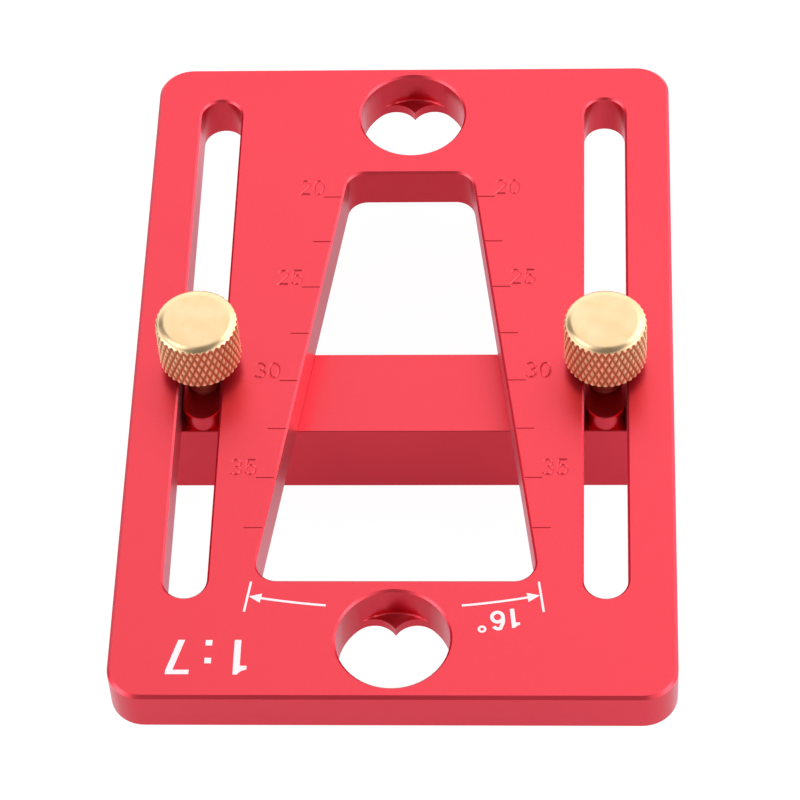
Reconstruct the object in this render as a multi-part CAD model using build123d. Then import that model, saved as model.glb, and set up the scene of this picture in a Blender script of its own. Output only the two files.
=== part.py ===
from build123d import *
from math import atan2, cos, pi, radians, sin, sqrt, tan
import os

# Dovetail marker: a flat anodised plate with a tapered window whose sides lean one in seven.
# A fence bar hangs under the plate, and two keys on the bar's top run in the plate's long slots.
# A knurled brass thumb screw in each key clamps the plate down on the bar.
# Frame: X across the marker, +Y to the narrow end of the window, +Z up, in millimetres.
# The origin is under the plate's centre, on the surface that the fence bar stands on.

# Plate
plate_width = 78.5
plate_length = 116.0
plate_thickness = 7.0
plate_corner_radius = 5.0
plate_edge_chamfer = 0.45
rim_chamfer = 0.3
edge_break = 0.1

# Round hole near each end, with a pointed tooth left standing at its foot
hole_diameter = 15.9
hole_end_wall = 1.8
tooth_thickness = 1.6
tooth_length = 2.85
tooth_lobe_radius = 3.45
tooth_fillet = 0.2

# Tapered window and the width marks cut beside it
window_slope = 7.0
window_far_web = 3.8
window_near_web = 1.85
window_corner_radius = 3.0
first_mark_width = 20.0
mark_width_step = 2.5
first_mark_setback = 4.8
mark_length = 2.9
mark_groove_width = 0.22
mark_groove_depth = 0.09

# Slots for the keys and the thumb screws
slot_spacing = 58.8
slot_far_margin = 6.7
slot_near_margin = 16.6
screw_to_slot_clearance = 0.6

# Fence bar and its keys
fence_depth = 14.3
fence_height = 13.4
fence_end_inset = 0.25
fence_rest_y = -0.1
sliding_gap = 0.05
key_height = 2.9
key_side_clearance = 0.2
key_edge_chamfer = 0.12

# Thumb screws
thread_diameter = 5.0
thread_clearance = 0.05
drill_point_angle = 118.0
drilled_floor = 3.0
screw_tip_gap = 1.0
screw_tip_chamfer = 0.5
knob_diameter = 12.0
knob_height = 8.1
knob_edge_radius = 0.9
knob_foot_chamfer = 0.2
left_screw_lift = 2.1
right_screw_lift = 1.75

# Diamond knurl round each knob
knurl_starts = 38
knurl_depth = 0.28
knurl_angle = 24.0

# Levels and places that follow from the sizes above
hole_radius = hole_diameter / 2
hole_y = plate_length / 2 - hole_end_wall - hole_radius
window_far_y = hole_y - hole_radius - window_far_web
window_near_y = -hole_y + hole_radius + window_near_web
first_mark_y = window_far_y - first_mark_setback
mark_step = mark_width_step / 2 * window_slope
slot_width = thread_diameter + 2 * screw_to_slot_clearance
slot_far_y = plate_length / 2 - slot_far_margin
slot_near_y = slot_near_margin - plate_length / 2
plate_underside_z = fence_height + sliding_gap
plate_top_z = plate_underside_z + plate_thickness
key_width = slot_width - 2 * key_side_clearance
key_length = fence_depth - 2 * (edge_break + sliding_gap)
tapped_radius = thread_diameter / 2 + thread_clearance
drill_point_height = tapped_radius / tan(radians(drill_point_angle / 2))
screw_length = plate_top_z - drilled_floor - drill_point_height - screw_tip_gap


def window_half_width(y):
    """Half the window's width at y: it grows by one for every seven towards the near end."""
    return first_mark_width / 2 + (first_mark_y - y) / window_slope


def window_outline():
    """The tapered window: a trapezium with rounded corners."""
    far = window_half_width(window_far_y)
    near = window_half_width(window_near_y)
    corners = [(-far, window_far_y), (far, window_far_y), (near, window_near_y), (-near, window_near_y)]
    trapezium = make_face(Polyline(*corners, close=True))
    return fillet(trapezium.vertices(), window_corner_radius)


def slot_outline(side):
    """A long slot with round ends, on the left for side -1 and on the right for side 1."""
    length = slot_far_y - slot_near_y
    middle = (slot_far_y + slot_near_y) / 2
    return Pos(side * slot_spacing / 2, middle) * Rot(0, 0, 90) * SlotOverall(length, slot_width)


def tooth_outline():
    """The hole's shape at its foot: the circle less a pointed tooth between two lobes.

    Each lobe is an arc that leaves the circle smoothly and ends at the tooth's point.
    """
    tip_y = hole_radius - tooth_length
    squares = hole_radius ** 2 + tip_y ** 2 - 2 * hole_radius * tooth_lobe_radius
    lobe_y = squares / (2 * tip_y)
    lobe_x = sqrt(tooth_lobe_radius ** 2 - (tip_y - lobe_y) ** 2)
    lean = atan2(lobe_x, lobe_y)
    leave_x = hole_radius * sin(lean)
    leave_y = hole_radius * cos(lean)
    lobe_top_y = lobe_y + tooth_lobe_radius
    outline = [
        ThreePointArc((leave_x, leave_y), (0, -hole_radius), (-leave_x, leave_y)),
        ThreePointArc((-leave_x, leave_y), (-lobe_x, lobe_top_y), (0, tip_y)),
        ThreePointArc((0, tip_y), (lobe_x, lobe_top_y), (leave_x, leave_y)),
    ]
    return make_face(outline)


def width_mark(side, y):
    """The cutter for one short groove that runs outward from the window's edge."""
    start = window_half_width(y)
    cutter = Box(2 * mark_length, mark_groove_width, 2 * mark_groove_depth)
    return Pos(side * start, y, plate_thickness) * cutter


def template_plate():
    """The plate: a rounded blank with the window, slots, holes and width marks cut in it."""
    blank = extrude(RectangleRounded(plate_width, plate_length, plate_corner_radius), plate_thickness)
    blank = chamfer(blank.faces().sort_by(Axis.Z)[-1].edges(), plate_edge_chamfer)
    blank = chamfer(blank.faces().sort_by(Axis.Z)[0].edges(), edge_break)

    passages = window_outline() + slot_outline(-1) + slot_outline(1)
    plate = blank - extrude(passages, plate_thickness)
    underside_rims = plate.faces().sort_by(Axis.Z)[0].inner_wires().edges()
    plate = chamfer(underside_rims, edge_break)
    upper_bore = Pos(0, 0, tooth_thickness) * extrude(Circle(hole_radius), plate_thickness)
    upper_bore = fillet(upper_bore.faces().sort_by(Axis.Z)[0].edges(), tooth_fillet)
    for end in (-1, 1):
        place = Pos(0, end * hole_y)
        plate -= place * (upper_bore + extrude(tooth_outline(), plate_thickness))
    top_rims = plate.faces().sort_by(Axis.Z)[-1].inner_wires().edges()
    plate = chamfer(top_rims, rim_chamfer)

    marks_reach = first_mark_y - window_near_y - window_corner_radius
    for mark in range(int(marks_reach / mark_step) + 1):
        for side in (-1, 1):
            plate -= width_mark(side, first_mark_y - mark * mark_step)
    return Pos(0, 0, plate_underside_z) * plate


def tapped_hole():
    """The cutter for a blind hole drilled down through a key, with the drill's cone at its foot."""
    mouth_z = fence_height + key_height + 1
    shoulder_z = drilled_floor + drill_point_height
    profile = Polyline(
        (0, drilled_floor), (tapped_radius, shoulder_z), (tapped_radius, mouth_z), (0, mouth_z), close=True
    )
    return revolve(make_face(Plane.XZ * profile), Axis.Z)


def fence_bar():
    """The fence: a milled bar with two long keys left standing on its top and a tapped hole in each."""
    length = plate_width - 2 * fence_end_inset
    bar = Pos(0, 0, fence_height / 2) * Box(length, fence_depth, fence_height)
    bar = chamfer(bar.edges(), edge_break)
    for side in (-1, 1):
        key_outline = Rot(0, 0, 90) * SlotOverall(key_length, key_width)
        key = extrude(key_outline, key_height + fence_height / 2)
        key = chamfer(key.faces().sort_by(Axis.Z)[-1].edges(), key_edge_chamfer)
        place = Pos(side * slot_spacing / 2, 0)
        bar += place * Pos(0, 0, fence_height / 2) * key
        bar -= place * tapped_hole()
    return Pos(0, fence_rest_y) * bar


def knurled_band(height):
    """A band of pyramids between crossing helical grooves, standing on z = 0.

    Groove crossings lie on the root cylinder and each pyramid's peak on the outer one.
    Odd rows are turned by half a pitch, so crossings and peaks trade places from row to row.
    """
    peak_radius = knob_diameter / 2
    root_radius = peak_radius - knurl_depth
    pitch = 2 * pi / knurl_starts
    rows = max(2, 2 * round(height * tan(radians(knurl_angle)) / (peak_radius * pitch)))

    def point(column, row):
        """Column counts half pitches. Crossings fall where column and row add up to an even number."""
        radius = root_radius if (column + row) % 2 == 0 else peak_radius
        turn = column * pitch / 2
        return Vector(radius * cos(turn), radius * sin(turn), row * height / rows)

    facets = []
    for row in range(rows):
        for column in range(2 * knurl_starts):
            low, low_next = point(column, row), point(column + 1, row)
            high, high_next = point(column, row + 1), point(column + 1, row + 1)
            if (column + row) % 2 == 0:
                triangles = [(low, low_next, high_next), (low, high_next, high)]
            else:
                triangles = [(low, low_next, high), (low_next, high_next, high)]
            facets += [Face(Wire.make_polygon(triangle)) for triangle in triangles]
    for row in (0, rows):
        ring = [point(column, row) for column in range(2 * knurl_starts)]
        facets.append(Face(Wire.make_polygon(ring)))
    return Solid(Shell(facets))


def thumb_screw():
    """A turned brass screw: a knurled knob with a rounded top, and a plain stem for its thread.

    The knob's underside is at z = 0.
    """
    core_radius = knob_diameter / 2 - knurl_depth
    stem_radius = thread_diameter / 2
    flat_radius = core_radius - knob_edge_radius
    edge_z = knob_height - knob_edge_radius
    profile = [
        Polyline(
            (flat_radius, knob_height),
            (0, knob_height),
            (0, -screw_length),
            (stem_radius - screw_tip_chamfer, -screw_length),
            (stem_radius, screw_tip_chamfer - screw_length),
            (stem_radius, 0),
            (core_radius - knob_foot_chamfer, 0),
            (core_radius, knob_foot_chamfer),
            (core_radius, edge_z),
        ),
        RadiusArc((core_radius, edge_z), (flat_radius, knob_height), -knob_edge_radius),
    ]
    turned = revolve(Plane.XZ * make_face(profile), Axis.Z)
    return turned + Pos(0, 0, knob_foot_chamfer) * knurled_band(edge_z - knob_foot_chamfer)


def fitted_screw(screw, side, lift):
    """A screw in its key, with its knob standing the given lift above the plate."""
    return Pos(side * slot_spacing / 2, fence_rest_y, plate_top_z + lift) * screw


screw = thumb_screw()
pieces = {
    "template_plate": template_plate(),
    "fence_bar": fence_bar(),
    "left_thumb_screw": fitted_screw(screw, -1, left_screw_lift),
    "right_thumb_screw": fitted_screw(screw, 1, right_screw_lift),
}

os.makedirs("parts", exist_ok=True)
for name, piece in pieces.items():
    export_step(piece, f"parts/{name}.step")
print("window", 2 * window_half_width(window_far_y), "to", 2 * window_half_width(window_near_y))
print("fence travel", slot_near_y + key_length / 2 - fence_rest_y, slot_far_y - key_length / 2 - fence_rest_y)
print("screw length", screw_length, "plate top", plate_top_z)
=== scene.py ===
import bpy
import bmesh
import numpy as np
from math import asin, atan, cos, pi, radians, sin
from mathutils import Matrix, Vector


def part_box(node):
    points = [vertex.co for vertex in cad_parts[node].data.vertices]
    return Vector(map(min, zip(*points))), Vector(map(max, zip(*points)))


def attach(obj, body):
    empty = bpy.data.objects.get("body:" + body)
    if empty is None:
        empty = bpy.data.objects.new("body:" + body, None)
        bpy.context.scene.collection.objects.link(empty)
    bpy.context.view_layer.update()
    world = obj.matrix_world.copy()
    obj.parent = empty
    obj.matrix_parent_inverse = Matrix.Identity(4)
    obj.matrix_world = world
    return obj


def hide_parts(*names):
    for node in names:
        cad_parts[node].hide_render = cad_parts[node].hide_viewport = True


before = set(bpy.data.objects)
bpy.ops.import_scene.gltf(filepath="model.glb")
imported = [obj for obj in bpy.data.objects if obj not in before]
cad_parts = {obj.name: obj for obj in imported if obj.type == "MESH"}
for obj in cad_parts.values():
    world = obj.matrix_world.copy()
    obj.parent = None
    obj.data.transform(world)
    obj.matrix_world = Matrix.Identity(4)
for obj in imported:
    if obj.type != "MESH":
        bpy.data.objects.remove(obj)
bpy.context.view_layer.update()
mm = 0.001


# Camera
# It stands in front of the marker and above it, with a long lens, turned a little to the left
# and tilted a little, so that the marker leans in the picture.
camera = bpy.data.objects.new("camera", bpy.data.cameras.new("camera"))
bpy.context.scene.collection.objects.link(camera)
bpy.context.scene.camera = camera
camera.data.sensor_width = 36.0
camera.data.lens = 168.414
camera.data.clip_start = 10 * mm
camera.data.clip_end = 20.0
camera_place = Vector((28.358, -335.304, 448.807)) * mm
camera_turn = radians(4.9756)
camera_pitch = radians(-52.4179)
camera_roll = radians(-4.0606)
camera_frame = (
    Matrix.Rotation(camera_turn, 4, "Z")
    @ Matrix.Rotation(camera_pitch + pi / 2, 4, "X")
    @ Matrix.Rotation(camera_roll, 4, "Z")
)
camera.matrix_world = Matrix.Translation(camera_place) @ camera_frame


# Template plate
# A 7 mm aluminium plate, milled and anodised red. The window, slots, holes and width marks come
# with the solid. The widths that the marks stand for are cut here, with a fine engraving tool.
plate_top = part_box("template_plate")[1].z
window_slope = 7.0
first_mark_y = 31.7 * mm
first_mark_width = 20.0 * mm
numbered_step = 5.0 * mm
numbered_marks = 4
digit_size = np.array([1.5, 2.6]) * mm
digit_gap = 0.55 * mm
number_offset = np.array([4.75, 1.9]) * mm
engraving_width = 0.36 * mm
engraving_depth = 0.11 * mm
engraving_slope = 1.4
engraving_overshoot = 0.035 * mm
crease = 30
joining_distance = 0.0005 * mm


def merged_copy(solid, name):
    """A copy of a solid's mesh with its loose triangles joined, and shaded smooth up to the crease."""
    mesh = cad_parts[solid].data.copy()
    mesh.name = name
    shape = bmesh.new()
    shape.from_mesh(mesh)
    bmesh.ops.remove_doubles(shape, verts=shape.verts, dist=joining_distance)
    shape.to_mesh(mesh)
    shape.free()
    mesh.attributes.remove(mesh.attributes["custom_normal"])
    mesh.materials.clear()
    shade(mesh, crease)
    piece = bpy.data.objects.new(name, mesh)
    bpy.context.scene.collection.objects.link(piece)
    return piece


def shade(mesh, crease_degrees):
    """Smooth shading, with a hard edge wherever two faces turn by more than the crease."""
    mesh.shade_smooth()
    mesh.set_sharp_from_angle(angle=radians(crease_degrees))


def new_piece(name, parts, crease_degrees):
    """One object from a list of (vertices, faces), which are put one after the other."""
    vertices, faces, first = [], [], 0
    for part_vertices, part_faces in parts:
        vertices.append(part_vertices)
        faces += [[first + corner for corner in face] for face in part_faces]
        first += len(part_vertices)
    mesh = bpy.data.meshes.new(name)
    mesh.from_pydata(np.concatenate(vertices).tolist(), [], faces)
    shade(mesh, crease_degrees)
    piece = bpy.data.objects.new(name, mesh)
    bpy.context.scene.collection.objects.link(piece)
    return piece


def prism(outline, low, high, upper=None):
    """An anticlockwise outline given a thickness: its points at two levels, with walls between.

    The upper level may have an outline of its own, with as many points.
    """
    count = len(outline)
    levels = np.repeat([low, high], count)
    vertices = np.column_stack([np.concatenate([outline, outline if upper is None else upper]), levels])
    here = np.arange(count)
    after = (here + 1) % count
    walls = np.column_stack([here, after, after + count, here + count]).tolist()
    return vertices, walls + [(here + count).tolist(), here[::-1].tolist()]


def hoop(outer, inner, low, high, upper=None):
    """Two outlines of as many points, one inside the other, with the band between them made solid.

    The upper level may have a pair of outlines of its own.
    """
    count = len(outer)
    upper_outer, upper_inner = upper or (outer, inner)
    rings = np.concatenate([upper_outer, upper_inner, inner, outer])
    levels = np.repeat([high, high, low, low], count)
    here = np.arange(count)
    after = (here + 1) % count
    faces = [
        np.column_stack([here + a * count, after + a * count, after + b * count, here + b * count])
        for a, b in ((0, 1), (1, 2), (2, 3), (3, 0))
    ]
    return np.column_stack([rings, levels]), np.concatenate(faces).tolist()


def sides_of(path, width, closed):
    """The two edges of a stroke: each point moved half the width to either side.

    At a corner it moves along the half angle, further by one over the cosine of half the turn.
    """
    steps = np.diff(path, axis=0, append=path[:1])
    if not closed:
        steps[-1] = steps[-2]
    steps /= np.linalg.norm(steps, axis=1)[:, None]
    before = np.roll(steps, 1, axis=0)
    if not closed:
        before[0] = steps[0]
    ahead = steps + before
    ahead /= np.linalg.norm(ahead, axis=1)[:, None]
    stretch = 1 / np.clip((ahead * steps).sum(axis=1), 0.4, 1)
    left = np.column_stack([-ahead[:, 1], ahead[:, 0]]) * (stretch * width / 2)[:, None]
    return path + left, path - left


def arc(centre, radii, start, end, points=14):
    """Points on an ellipse's arc about its centre, from one angle to another in degrees."""
    turn = np.radians(np.linspace(start, end, points))
    return np.column_stack([centre[0] + radii[0] * np.cos(turn), centre[1] + radii[1] * np.sin(turn)])


# Each digit is one or two strokes in a box one wide and one high, from its lower left corner. The
# nought's stroke closes on itself.
digits = {
    "0": [arc((0.5, 0.5), (0.47, 0.5), 0, 345, 24)],
    "2": [np.concatenate([
        arc((0.5, 0.72), (0.44, 0.28), 165, -30),
        [(0.03, 0.0), (1.0, 0.0)],
    ])],
    "3": [
        arc((0.45, 0.76), (0.42, 0.24), 150, -90),
        arc((0.45, 0.26), (0.48, 0.26), 90, -150),
    ],
    "5": [np.concatenate([
        [(0.92, 1.0), (0.2, 1.0), (0.1, 0.48)],
        arc((0.48, 0.32), (0.48, 0.32), 100, -150),
    ])],
}
closed_digits = "0"


def number_cutters(text, centre):
    """Each stroke of a number as a tapered bar, which leaves a groove with slanted walls.

    The bars come as two lists, the digits' first strokes and their second ones, which may overlap.
    """
    bars = ([], [])
    advance = digit_size[0] + digit_gap
    corner = np.array(centre) - [(advance * (len(text) - 1) + digit_size[0]) / 2, digit_size[1] / 2]
    low, high = plate_top - engraving_depth, plate_top + engraving_overshoot
    floor_width = engraving_width - 2 * engraving_slope * engraving_depth
    head_width = engraving_width + 2 * engraving_slope * engraving_overshoot
    for place, digit in enumerate(text):
        for order, path in enumerate(digits[digit]):
            path = corner + [advance * place, 0] + path * digit_size
            closed = digit in closed_digits
            left, right = sides_of(path, floor_width, closed)
            upper_left, upper_right = sides_of(path, head_width, closed)
            if closed:
                bars[order].append(hoop(right, left, low, high, (upper_right, upper_left)))
            else:
                upper = np.concatenate([upper_right, upper_left[::-1]])
                bars[order].append(prism(np.concatenate([right, left[::-1]]), low, high, upper))
    return bars


plate = merged_copy("template_plate", "plate")
bars = ([], [])
for mark in range(numbered_marks):
    width = first_mark_width + mark * numbered_step
    mark_y = first_mark_y - (width - first_mark_width) / 2 * window_slope
    for side in (-1, 1):
        centre = (side * (width / 2 + number_offset[0]), mark_y + number_offset[1])
        for order, made in enumerate(number_cutters(str(round(width / mm)), centre)):
            bars[order].extend(made)

# The first strokes are cut before the second ones, so that no cutter has bars that overlap.
for some_bars in bars:
    cutter = new_piece("number_cutter", some_bars, crease)
    shape = bmesh.new()
    shape.from_mesh(cutter.data)
    bmesh.ops.triangulate(shape, faces=shape.faces)
    bmesh.ops.recalc_face_normals(shape, faces=shape.faces)
    shape.to_mesh(cutter.data)
    shape.free()
    engraving = plate.modifiers.new("engraving", "BOOLEAN")
    engraving.operation = "DIFFERENCE"
    engraving.solver = "EXACT"
    engraving.object = cutter
    engraved = plate.evaluated_get(bpy.context.evaluated_depsgraph_get())
    plate.data = bpy.data.meshes.new_from_object(engraved)
    plate.modifiers.clear()
    bpy.data.objects.remove(cutter)
shade(plate.data, crease)


def node(tree, kind, links=None, **settings):
    """A node with its settings, whose inputs take a value or another node's output."""
    made = tree.nodes.new(kind)
    for name, value in settings.items():
        setattr(made, name, value)
    for socket, value in (links or {}).items():
        if isinstance(value, bpy.types.NodeSocket):
            tree.links.new(value, made.inputs[socket])
        else:
            made.inputs[socket].default_value = value
    return made


def maths(tree, operation, *values, **settings):
    """The result of one sum on some values."""
    links = dict(enumerate(values))
    return node(tree, "ShaderNodeMath", links, operation=operation, **settings).outputs[0]


def ramp(tree, value, low, high, at_low=0.0, at_high=1.0, **settings):
    """A value that goes from one level to another between two limits, and stays there past them."""
    made = node(tree, "ShaderNodeMapRange", {
        "Value": value, "From Min": low, "From Max": high, "To Min": at_low, "To Max": at_high,
    }, **settings)
    return made.outputs["Result"]


def blend(tree, factor, colour, other):
    """A colour that gives way to another as the factor goes from nought to one."""
    made = node(tree, "ShaderNodeMix", {"Factor": factor, 6: colour, 7: other}, data_type="RGBA")
    return made.outputs[2]


# Mottle: a soft, uneven mask of one size of patch, between nought and one.
mottle = bpy.data.node_groups.new("mottle", "ShaderNodeTree")
mottle.interface.new_socket("Vector", in_out="INPUT", socket_type="NodeSocketVector")
mottle.interface.new_socket("Patches per metre", in_out="INPUT", socket_type="NodeSocketFloat")
mottle.interface.new_socket("Contrast", in_out="INPUT", socket_type="NodeSocketFloat")
mottle.interface.new_socket("Mask", in_out="OUTPUT", socket_type="NodeSocketFloat")
given = mottle.nodes.new("NodeGroupInput")
result = mottle.nodes.new("NodeGroupOutput")
cloud = node(mottle, "ShaderNodeTexNoise", {
    "Vector": given.outputs["Vector"], "Scale": given.outputs["Patches per metre"], "Detail": 4.0,
})
centred = maths(mottle, "SUBTRACT", cloud.outputs["Fac"], 0.5)
spread = maths(mottle, "MULTIPLY", centred, given.outputs["Contrast"])
lifted = maths(mottle, "ADD", spread, 0.5, use_clamp=True)
mottle.links.new(lifted, result.inputs["Mask"])


def mottled(tree, place, patches_per_metre, contrast):
    """The mottle's mask at a place in a material."""
    made = node(tree, "ShaderNodeGroup", {
        "Vector": place, "Patches per metre": patches_per_metre, "Contrast": contrast,
    }, node_tree=mottle)
    return made.outputs["Mask"]


def new_material(name):
    """A material with its shader, and the piece's own coordinates for its patterns."""
    made = bpy.data.materials.new(name)
    made.use_nodes = True
    tree = made.node_tree
    where = tree.nodes.new("ShaderNodeTexCoord").outputs["Object"]
    return made, tree, tree.nodes["Principled BSDF"], where


# Red anodising on blasted aluminium: the dye sits in a clear, glassy skin over the satin metal.
# Light that crosses the skin at a slant passes more dye, so a face seen so is a deeper red, and the
# slant colour is deeper still, as painted shade on the walls and fronts. At a grazing angle the coat
# fades and the base colour turns pink, a painted sheen.
red_anodised, tree, shader, where = new_material("red_anodised_aluminium")
dye_dark = (0.625, 0.025, 0.044, 1.0)
dye_light = (0.69, 0.032, 0.055, 1.0)
# The slant colour is partly the dye's own deeper red and partly painted shade; the graze colour is a
# painted sheen.
dye_and_shade_at_slant = (0.67, 0.003, 0.030, 1.0)
graze_sheen_colour = (0.90, 0.38, 0.45, 1.0)
grain = mottled(tree, where, 7000.0, 1.6)
patches = mottled(tree, where, 90.0, 1.6)
facing = node(tree, "ShaderNodeLayerWeight", {"Blend": 0.5}).outputs["Facing"]
slant = ramp(tree, facing, 0.22, 0.42)
graze = ramp(tree, facing, 0.70, 0.90)
dye = blend(tree, grain, dye_dark, dye_light)
# A deeper red at a slant, partly painted shade, then pink at a grazing angle, a painted sheen.
dyed_and_shaded = blend(tree, slant, dye, dye_and_shade_at_slant)
sheen = blend(tree, graze, dyed_and_shaded, graze_sheen_colour)
skin = ramp(tree, graze, 0.0, 1.0, 1.0, 0.1)
satin = ramp(tree, patches, 0.0, 1.0, 0.32, 0.40)
blast = node(tree, "ShaderNodeBump", {"Height": grain, "Strength": 0.4, "Distance": 0.02 * mm})
tree.links.new(sheen, shader.inputs["Base Color"])
tree.links.new(skin, shader.inputs["Coat Weight"])
tree.links.new(satin, shader.inputs["Roughness"])
tree.links.new(blast.outputs["Normal"], shader.inputs["Normal"])
shader.inputs["Metallic"].default_value = 1.0
shader.inputs["Coat Roughness"].default_value = 0.25
shader.inputs["Coat IOR"].default_value = 1.39
shader.inputs["Specular Tint"].default_value = (0.86, 0.53, 0.59, 1.0)
plate.data.materials.clear()
plate.data.materials.append(red_anodised)
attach(plate, "plate")
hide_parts("template_plate")


# Printed marks
# The slope and the angle, in white ink, are screen printed on the plate's near margin. They are
# read from the far side, so they stand upside down here. The angle's arrows end at short limit
# lines, which carry on along the window's sides and start and stop at two radii from its apex.
ink_thickness = 0.02 * mm
ink_low = plate_top
ink_high = plate_top + ink_thickness
apex_y = first_mark_y + first_mark_width / 2 * window_slope
half_angle = atan(1 / window_slope)
arrow_width = 0.35 * mm
arrow_tail = 9.45 * mm
head_length = 1.75 * mm
head_width = 1.55 * mm
limit_radii = np.array([141.9, 147.0]) * mm
limit_line_width = 0.32 * mm

# Outlines in millimetres from each figure's lower left corner, as it is read.
one_outline = np.array([
    (1.02, 0.0), (1.94, 0.0), (1.94, 5.7), (1.36, 5.7), (0.95, 5.22), (0.55, 5.0), (0.08, 4.88),
    (0.08, 4.26), (1.02, 4.26),
])
seven_outline = np.array([
    (0.0, 5.65), (0.0, 4.93), (2.25, 4.93), (0.80, 0.0), (1.74, 0.0), (3.24, 5.10), (3.24, 5.65),
])
dot_outline = np.array([(0.0, 0.0), (0.93, 0.0), (0.93, 0.9), (0.0, 0.9)])
small_one_outline = np.array([
    (0.62, 0.0), (1.22, 0.0), (1.22, 3.2), (0.82, 3.2), (0.55, 2.95), (0.3, 2.82), (0.05, 2.76),
    (0.05, 2.36), (0.62, 2.36),
])


def upside_down(outline, right, foot, turn=0.0):
    """An outline in millimetres turned about so that it reads from the far side.

    Its lower left corner goes to the place (right, foot), and it leans by the turn.
    """
    angle = pi + turn
    spin = np.array([[cos(angle), sin(angle)], [-sin(angle), cos(angle)]])
    return outline * mm @ spin + np.array([right, foot]) * mm


def polar(radius, angle, centre_y):
    """Points on circles about (0, centre_y), each at its angle from straight down."""
    return np.column_stack([radius * np.sin(angle), centre_y - radius * np.cos(angle)])


def on_side(side, outline):
    """An outline that is drawn on the right, or its mirror image for side -1."""
    return outline if side > 0 else (outline * [-1, 1])[::-1]


def arrow(side, tip_radius, arrow_bend):
    """An arrow along an arc: a band of one width, then a head that comes to a point at the limit.

    The tip is at its radius from the window's apex, and the arc has its own radius and centre.
    """
    tip_x = tip_radius * sin(half_angle) - limit_line_width / 2
    tip_y = apex_y - tip_radius * cos(half_angle)
    tip = asin(tip_x / arrow_bend)
    centre_y = tip_y + arrow_bend * cos(tip)
    neck = tip - head_length / arrow_bend
    bend = np.linspace(asin(arrow_tail / arrow_bend), neck, 12)
    near = polar(arrow_bend + arrow_width / 2, bend, centre_y)
    far = polar(arrow_bend - arrow_width / 2, bend, centre_y)
    head_radius = arrow_bend + np.array([head_width / 2, 0, -head_width / 2])
    head = polar(head_radius, np.array([neck, tip, neck]), centre_y)
    return on_side(side, np.concatenate([near, head, far[::-1]]))


def limit(side):
    """The short line that carries on along the window's side, where an arrow ends."""
    edge = limit_line_width / 2 / limit_radii
    inner = polar(limit_radii, half_angle - edge, apex_y)
    outer = polar(limit_radii, half_angle + edge, apex_y)
    return on_side(side, np.concatenate([inner[::-1], outer])[::-1])


# The six is a stem that bends over at its top, and a bowl that it runs into.
six_width = 0.52
six_stem = np.concatenate([
    arc((1.02, 2.22), (0.72, 0.78), 25, 110, 8),
    arc((1.30, 1.50), (1.02, 1.40), 135, 192, 8),
])
stem_left, stem_right = sides_of(six_stem, six_width, False)
six_stem_outline = np.concatenate([stem_right, stem_left[::-1]])
six_bowl = arc((1.04, 1.05), (0.76, 0.80), 0, 350, 36)
bowl_inner, bowl_outer = sides_of(six_bowl, six_width, True)
six_place = (15.33, -43.55, radians(5.6))
stem_top = ink_high - ink_thickness / 4

degree_turn = np.linspace(0, 2 * pi, 24, endpoint=False)
degree_ring = np.column_stack([np.cos(degree_turn), np.sin(degree_turn)])
degree_radius = 0.6
degree_bore = 0.26
degree_centre = np.array([12.3, -46.7]) * mm
degree_outer = degree_ring * degree_radius * mm + degree_centre
degree_inner = degree_ring * degree_bore * mm + degree_centre

# Each arrow has its side, the radius of its tip from the apex, and the radius of its arc.
arrows = [(-1, 144.4 * mm, 107 * mm), (1, 144.2 * mm, 94.5 * mm)]
small_one_place = (17.3, -43.2, radians(6.4))

# The ratio's figures as they are read, each with the place of its lower left corner.
ratio_figures = [
    (one_outline, -19.84, -48.54),
    (dot_outline, -24.86, -48.56),
    (dot_outline, -24.86, -51.50),
    (seven_outline, -27.86, -48.54),
]
ratio_parts = [prism(upside_down(*figure), ink_low, ink_high) for figure in ratio_figures]
angle_parts = [prism(arrow(*sizes), ink_low, ink_high) for sizes in arrows]
angle_parts += [prism(limit(side), ink_low, ink_high) for side in (-1, 1)]
angle_parts += [
    prism(upside_down(small_one_outline, *small_one_place), ink_low, ink_high),
    prism(upside_down(six_stem_outline, *six_place), ink_low, stem_top),
    hoop(upside_down(bowl_outer, *six_place), upside_down(bowl_inner, *six_place), ink_low, ink_high),
    hoop(degree_outer, degree_inner, ink_low, ink_high),
]

white_ink, tree, shader, where = new_material("white_ink")
ink_dark = (0.66, 0.57, 0.60, 1.0)
ink_light = (0.72, 0.67, 0.69, 1.0)
thin = mottled(tree, where, 2500.0, 1.8)
ink_skin = node(tree, "ShaderNodeBump", {"Height": thin, "Strength": 0.3, "Distance": 0.01 * mm})
tree.links.new(blend(tree, thin, ink_dark, ink_light), shader.inputs["Base Color"])
tree.links.new(ink_skin.outputs["Normal"], shader.inputs["Normal"])
shader.inputs["Roughness"].default_value = 0.5
for name, parts in (("ratio_mark", ratio_parts), ("angle_mark", angle_parts)):
    marks = new_piece(name, parts, crease)
    marks.data.materials.append(white_ink)
    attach(marks, "plate")


# Fence bar
# The fence is a milled aluminium bar in the same red anodising, that slides along under the
# plate. Two keys with round ends are left standing on its top and run in the plate's slots.
fence = merged_copy("fence_bar", "fence")
fence.data.materials.append(red_anodised)
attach(fence, "fence")
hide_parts("fence_bar")


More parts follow.
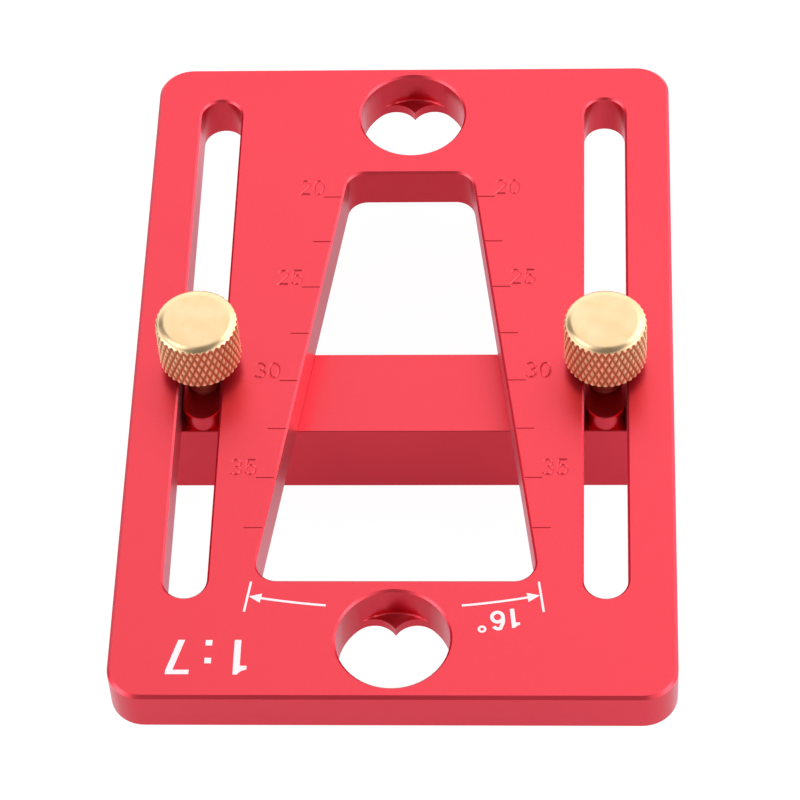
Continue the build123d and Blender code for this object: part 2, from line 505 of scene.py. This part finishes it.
# Thumb screws
# Each is turned in one piece from a brass bar, with a diamond knurl rolled round its knob and a
# 5 mm thread cut on its stem. The knob's rounded edge was cut after the knurl, and it ends in a
# zigzag there. Two screws clamp the plate down on the fence's keys.
knob_radius = 6.0
knob_height = 8.1
edge_width = 1.6
edge_drop = 0.9
knob_crown = 0.03
knurl_starts = 38
knurl_depth = 0.28
knurl_rows = 6
knurl_bottom = 0.1
knurl_top = 7.4
groove_share = 0.5
columns_a_start = 12
crown_rows = 12
edge_rows = 30
foot_rows = 8
first_row_gap = 0.05
last_row_gap = 0.02
foot_chamfer = 0.15
neck_length = 0.8
neck_radius = 1.9
thread_radius = 2.5
thread_root_radius = 2.02
thread_pitch = 0.8
thread_root_share = 0.12
thread_flank_share = 0.68
rows_a_turn = 8
tip_chamfer = 0.5
screw_crease = 22


def knurl_radius(turn, height):
    """The knurl: two families of V grooves wound opposite ways, and the deeper one counts.

    A family's phase is the turn in pitches plus or less the height over its lead. The depth falls
    evenly from each groove's middle, so the grooves leave a pyramid wherever four of them meet.
    """
    lead = 2 * (knurl_top - knurl_bottom) / knurl_rows
    depth = 0
    for hand in (-1, 1):
        phase = turn * knurl_starts / (2 * pi) + hand * (height - knurl_bottom) / lead
        away = np.abs(phase - np.round(phase))
        depth = np.maximum(depth, knurl_depth * np.clip(1 - away / groove_share, 0, 1))
    return knob_radius - depth


def thread_profile(turn, height):
    """The thread: a ridge that climbs one pitch a turn, with a narrow flat on its crest and root."""
    phase = (height / thread_pitch - turn / (2 * pi)) % 1
    rise = np.clip((np.abs(phase - 0.5) * 2 - thread_root_share) / thread_flank_share, 0, 1)
    return thread_root_radius + (thread_radius - thread_root_radius) * rise


def grid_faces(rows, columns, first=0):
    """Quads between neighbouring rows of a grid that closes round its columns."""
    row, column = np.meshgrid(np.arange(rows - 1), np.arange(columns), indexing="ij")
    here = first + row * columns + column
    beside = first + row * columns + (column + 1) % columns
    return np.stack([here, beside, beside + columns, here + columns], axis=-1).reshape(-1, 4)


def knob_grid():
    """The knob from the middle of its top down to its foot, as (radius, height, turn) arrays.

    The plain form is a low crown, an edge rounded as a quarter of an ellipse, a straight side and a
    chamfer at the foot. The knurl then takes away whatever of that form lies outside its grooves.
    """
    columns = knurl_starts * columns_a_start
    step = (knurl_top - knurl_bottom) / knurl_rows / (columns_a_start / 2)
    flat_radius = knob_radius - edge_width
    crown_radius = np.linspace(0.05, 1, crown_rows) * flat_radius
    crown_height = knob_height - knob_crown * (crown_radius / flat_radius) ** 2
    edge_middle = knob_height - knob_crown - edge_drop
    bend = np.radians(np.linspace(87, 0, edge_rows))
    edge_radius = flat_radius + edge_width * np.cos(bend)
    edge_height = edge_middle + edge_drop * np.sin(bend)
    side_height = np.arange(edge_middle - first_row_gap, foot_chamfer, -step / 2)
    foot_height = np.linspace(foot_chamfer, 0, foot_rows)
    foot_radius = knob_radius - foot_chamfer + foot_height
    side_radius = np.full(len(side_height), knob_radius)
    radius = np.concatenate([crown_radius, edge_radius, side_radius, foot_radius])
    height = np.concatenate([crown_height, edge_height, side_height, foot_height])
    turn = np.arange(columns) * 2 * pi / columns
    turn, height = np.meshgrid(turn, height)
    return np.minimum(radius[:, None], knurl_radius(turn, height)), height, turn


def stem_grid(length):
    """The stem from the knob's foot to its tip: a plain neck, the thread, and a chamfered end."""
    first, last = neck_length + first_row_gap, length - last_row_gap
    rows = np.arange(first, last, thread_pitch / rows_a_turn)
    below = np.concatenate([[0.0, neck_length], rows, [length]])
    turn = np.arange(knurl_starts) * 2 * pi / knurl_starts
    turn, height = np.meshgrid(turn, -below)
    radius = thread_profile(turn, height)
    radius[:2] = neck_radius
    end = thread_radius - tip_chamfer + (height + length)
    return np.minimum(radius, end), height, turn


def thumb_screw(name, solid):
    """The whole screw as one closed surface, on the axis of its solid.

    The knob's grid has more columns than the stem's, and between them the knob's underside is a
    ring of flat faces, each with one step of the stem and one start of the knurl.
    """
    low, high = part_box(solid)
    centre = (low + high) / 2
    length = (high.z - low.z) / mm - knob_height
    foot = high.z - knob_height * mm
    knob, stem = knob_grid(), stem_grid(length)
    vertices = [[(0.0, 0.0, knob_height)]]
    for radius, height, turn in (knob, stem):
        rings = np.stack([radius * np.cos(turn), radius * np.sin(turn), height], axis=-1)
        vertices.append(rings.reshape(-1, 3))
    vertices.append([(0.0, 0.0, -length)])
    vertices = np.concatenate(vertices) * mm + [centre.x, centre.y, foot]

    knob_rows, knob_columns = knob[0].shape
    stem_rows, stem_columns = stem[0].shape
    stem_first = 1 + knob_rows * knob_columns
    faces = grid_faces(knob_rows, knob_columns, 1)[:, ::-1].tolist()
    faces += grid_faces(stem_rows, stem_columns, stem_first)[:, ::-1].tolist()
    around = np.arange(knob_columns)
    faces += np.column_stack([np.zeros_like(around), around + 1, (around + 1) % knob_columns + 1]).tolist()
    rim = stem_first - knob_columns
    for start in range(stem_columns):
        first_column = start * columns_a_start
        outer = [rim + (first_column + k) % knob_columns for k in range(columns_a_start + 1)]
        inner = [stem_first + (start + 1) % stem_columns, stem_first + start]
        faces.append(outer[::-1] + inner[::-1])
    last_ring = len(vertices) - 1 - stem_columns
    around = np.arange(stem_columns)
    tip = np.full_like(around, len(vertices) - 1)
    faces += np.column_stack([tip, (around + 1) % stem_columns + last_ring, around + last_ring]).tolist()
    return new_piece(name, [(vertices, faces)], screw_crease)


# Brass: polished on top. The knurl's grooves are painted darker and red-brown, as painted shade and a
# painted reflection of the red plate, and its peaks lighter, as a painted highlight. The stem is painted
# dark maroon, as painted shade under the knob. The knobs stand either side of the middle, so the size
# of x less their distance gives both the same pattern about their own axes.
brass, tree, shader, where = new_material("brass")
polish_dark = (0.71, 0.485, 0.255, 1.0)
polish_light = (0.76, 0.565, 0.345, 1.0)
# Lighter brass below the rounded edge, which stays on the knurl's peaks: a painted highlight.
peak_highlight_brass = (0.93, 0.69, 0.455, 1.0)
# Painted shade in the knurl's grooves, red-brown as a painted reflection of the red plate.
groove_shade_brass = (0.50, 0.18, 0.08, 1.0)
# Painted shade: a dark maroon on the stem and the middle of the knob's underside, where the knob shades
# it.
stem_shade_brass = (0.36, 0.065, 0.05, 1.0)
groove_shade_radius = 5.74 * mm
peak_radius = 5.95 * mm
stem_shade_radius = 2.6 * mm
stem_shade_fade_radius = 3.3 * mm
knurl_end_z = 29.75 * mm
polish_start_z = 29.95 * mm
screw_low, screw_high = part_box("right_thumb_screw")
screw_axis = (screw_low + screw_high) / 2
place = node(tree, "ShaderNodeSeparateXYZ", {0: where})
level_place = node(tree, "ShaderNodeCombineXYZ", {
    0: maths(tree, "SUBTRACT", maths(tree, "ABSOLUTE", place.outputs["X"]), screw_axis.x),
    1: maths(tree, "SUBTRACT", place.outputs["Y"], screw_axis.y),
})
distance = node(tree, "ShaderNodeVectorMath", {0: level_place.outputs[0]}, operation="LENGTH")
off_axis = distance.outputs["Value"]
below_edge = ramp(tree, place.outputs["Z"], knurl_end_z, polish_start_z, 1.0, 0.0)
# The knurl's grooves below the rounded edge take the painted shade.
sunken = ramp(tree, off_axis, groove_shade_radius, peak_radius, 1.0, 0.05, interpolation_type="SMOOTHSTEP")
groove_shade_mask = maths(tree, "MULTIPLY", sunken, below_edge)
# The stem and the middle of the underside take the painted shade.
stem_shade_mask = maths(tree, "MULTIPLY", ramp(tree, off_axis, stem_shade_radius, stem_shade_fade_radius, 1.0, 0.0), below_edge)
smudge = mottled(tree, where, 420.0, 1.7)
polish = blend(tree, smudge, polish_dark, polish_light)
# Painted highlight: everything below the rounded edge is made lighter, and the grooves are covered later.
with_peak_highlight = blend(tree, below_edge, polish, peak_highlight_brass)
# Painted shade, with the plate's red painted in, goes into the knurl's grooves.
with_groove_shade = blend(tree, groove_shade_mask, with_peak_highlight, groove_shade_brass)
# Painted shade over the stem, on top of the rest.
tree.links.new(blend(tree, stem_shade_mask, with_groove_shade, stem_shade_brass), shader.inputs["Base Color"])
dulled = ramp(tree, smudge, 0.0, 1.0, 0.17, 0.27)
tree.links.new(maths(tree, "MULTIPLY_ADD", below_edge, 0.36, dulled), shader.inputs["Roughness"])
rings = node(tree, "ShaderNodeCombineXYZ", {0: off_axis, 2: place.outputs["Z"]})
turning = mottled(tree, rings.outputs[0], 9000.0, 1.4)
lathe = node(tree, "ShaderNodeBump", {"Height": turning, "Strength": 0.12, "Distance": 0.01 * mm})
tree.links.new(lathe.outputs["Normal"], shader.inputs["Normal"])
shader.inputs["Metallic"].default_value = 1.0
for side in ("left", "right"):
    screw = thumb_screw(side + "_screw", side + "_thumb_screw")
    screw.data.materials.append(brass)
    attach(screw, side + "_screw")
    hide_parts(side + "_thumb_screw")


# Studio
# A white floor that the fence stands on, in a white tent. Most of what the camera sees of the floor,
# and some of what it sees in metal, is plain white. The rest is matt paper, which keeps the shadow.
# From below the floor is clear, so that the marker's underside shows.
floor_half = 1.5
floor_drop = 0.02 * mm
white_straight = 0.88
white_in_metal = 0.34
floor_mesh = bpy.data.meshes.new("floor")
floor_mesh.from_pydata(
    [(x * floor_half, y * floor_half, -floor_drop) for x, y in ((-1, -1), (1, -1), (1, 1), (-1, 1))],
    [], [(0, 1, 2, 3)],
)
floor = bpy.data.objects.new("floor", floor_mesh)
bpy.context.scene.collection.objects.link(floor)
paper = bpy.data.materials.new("white_paper")
paper.use_nodes = True
tree = paper.node_tree
tree.nodes.clear()
path = tree.nodes.new("ShaderNodeLightPath").outputs
mirrored = maths(tree, "MAXIMUM", path["Is Glossy Ray"], path["Is Transmission Ray"])
in_metal = maths(tree, "MULTIPLY", mirrored, white_in_metal)
straight = maths(tree, "MULTIPLY", path["Is Camera Ray"], white_straight)
white_share = maths(tree, "MAXIMUM", straight, in_metal)
matt = node(tree, "ShaderNodeBsdfDiffuse", {"Color": (0.72, 0.72, 0.72, 1.0)})
bright = node(tree, "ShaderNodeEmission", {"Color": (1.0, 1.0, 1.0, 1.0), "Strength": 1.08})
both = node(tree, "ShaderNodeMixShader", {0: white_share, 1: matt.outputs[0], 2: bright.outputs[0]})
behind = tree.nodes.new("ShaderNodeNewGeometry").outputs["Backfacing"]
clear = tree.nodes.new("ShaderNodeBsdfTransparent")
from_above = node(tree, "ShaderNodeMixShader", {0: behind, 1: both.outputs[0], 2: clear.outputs[0]})
node(tree, "ShaderNodeOutputMaterial", {"Surface": from_above.outputs[0]})
floor_mesh.materials.append(paper)

# The tent has one level with patches over it, and a later patch covers an earlier one. Each is the
# bearing of its middle from +X towards +Y, its rise over the floor, the angles from its middle
# where it starts and stops to fade, all in degrees, and its level.
tent_level = 1.35
bright_patches = [
    (90, 10, 20, 50, 1.73),
    (-12, 28, 12, 24, 4.0),
    (38, 6, 10, 22, 3.2),
    (42, 49, 14, 21, 3.0),
    (-162, 24, 12, 24, 4.0),
    (157, 66, 6, 13, 3.2),
]
dark_patches = [
    (-95, 36, 12, 30, 0.3),
    (-84, 68, 20, 29, 0.27),
    (0, 85, 13, 23, 0.27),
    (150, 0, 8, 20, 0.27),
    (137, 38, 8, 16, 0.4),
    (131, 48, 7, 13, 0.25),
]
world = bpy.data.worlds.new("tent")
bpy.context.scene.world = world
world.use_nodes = True
tree = world.node_tree
tree.nodes.clear()
direction = tree.nodes.new("ShaderNodeTexCoord").outputs["Generated"]
level = tent_level
for bearing, rise, inner, outer, patch_level in bright_patches + dark_patches:
    bearing, rise = radians(bearing), radians(rise)
    middle = (cos(bearing) * cos(rise), sin(bearing) * cos(rise), sin(rise))
    along = node(tree, "ShaderNodeVectorMath", {0: direction, 1: middle}, operation="DOT_PRODUCT")
    fade_start, fade_end = cos(radians(outer)), cos(radians(inner))
    mask = ramp(tree, along.outputs["Value"], fade_start, fade_end, interpolation_type="SMOOTHSTEP")
    covered = node(tree, "ShaderNodeMix", {"Factor": mask, 2: level, 3: patch_level}, data_type="FLOAT")
    level = covered.outputs[0]
seen = tree.nodes.new("ShaderNodeLightPath").outputs["Is Camera Ray"]
shown = node(tree, "ShaderNodeMix", {"Factor": seen, 2: level, 3: 1.0}, data_type="FLOAT")
dome = node(tree, "ShaderNodeBackground", {"Color": (1.0, 1.0, 1.0, 1.0), "Strength": shown.outputs[0]})
node(tree, "ShaderNodeOutputWorld", {"Surface": dome.outputs[0]})

bpy.context.scene.view_settings.view_transform = "Standard"
